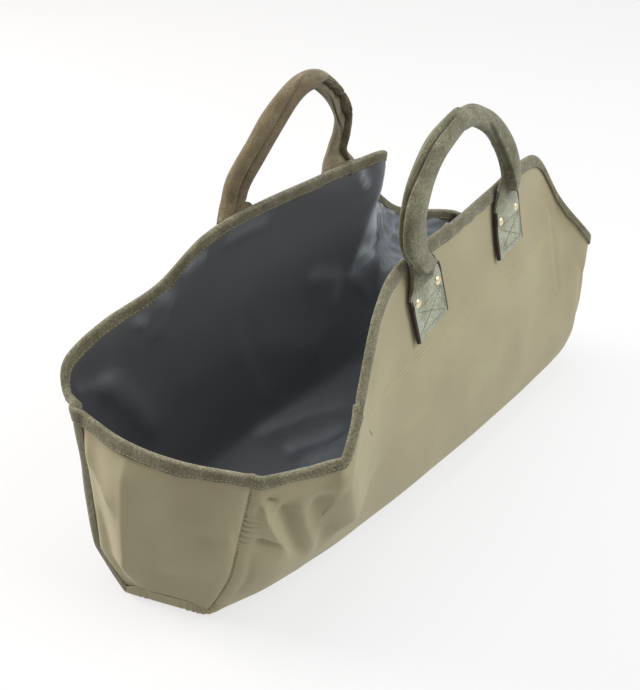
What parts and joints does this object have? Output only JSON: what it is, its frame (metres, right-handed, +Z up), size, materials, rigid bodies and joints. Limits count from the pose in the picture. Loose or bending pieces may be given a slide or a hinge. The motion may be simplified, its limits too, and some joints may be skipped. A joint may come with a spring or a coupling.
{
  "type": "log carrier",
  "caption": "Open canvas tote for carrying firewood, with tall sloped sides, low sewn ends, a dark coated lining, a suede-bound mouth and rolled suede handles riveted to the sides.",
  "frame": {"origin": "on the floor under the middle of the carrier, on its flat bottom face", "axes": "+X along the carrier from the near end to the far end, +Y from the front side to the back side, +Z up"},
  "size_m": [0.6225, 0.2624, 0.4051],
  "materials": {
    "canvas": "matte waxed weave",
    "lining": "smooth coated, soft sheen",
    "suede": "napped, mottled",
    "brass": "polished cap"
  },
  "bodies": {
    "root": {"body_canvas": "canvas", "body_lining": "lining", "near_end_canvas": "canvas", "near_end_lining": "lining", "far_end_canvas": "canvas", "far_end_lining": "lining", "mouth_binding": "suede", "front_handle": "suede", "back_handle": "suede", "front_near_rivet_1": "brass", "front_near_rivet_2": "brass", "front_far_rivet_1": "brass", "front_far_rivet_2": "brass", "back_near_rivet_1": "brass", "back_near_rivet_2": "brass", "back_far_rivet_1": "brass", "back_far_rivet_2": "brass"}
  },
  "joints": []
}
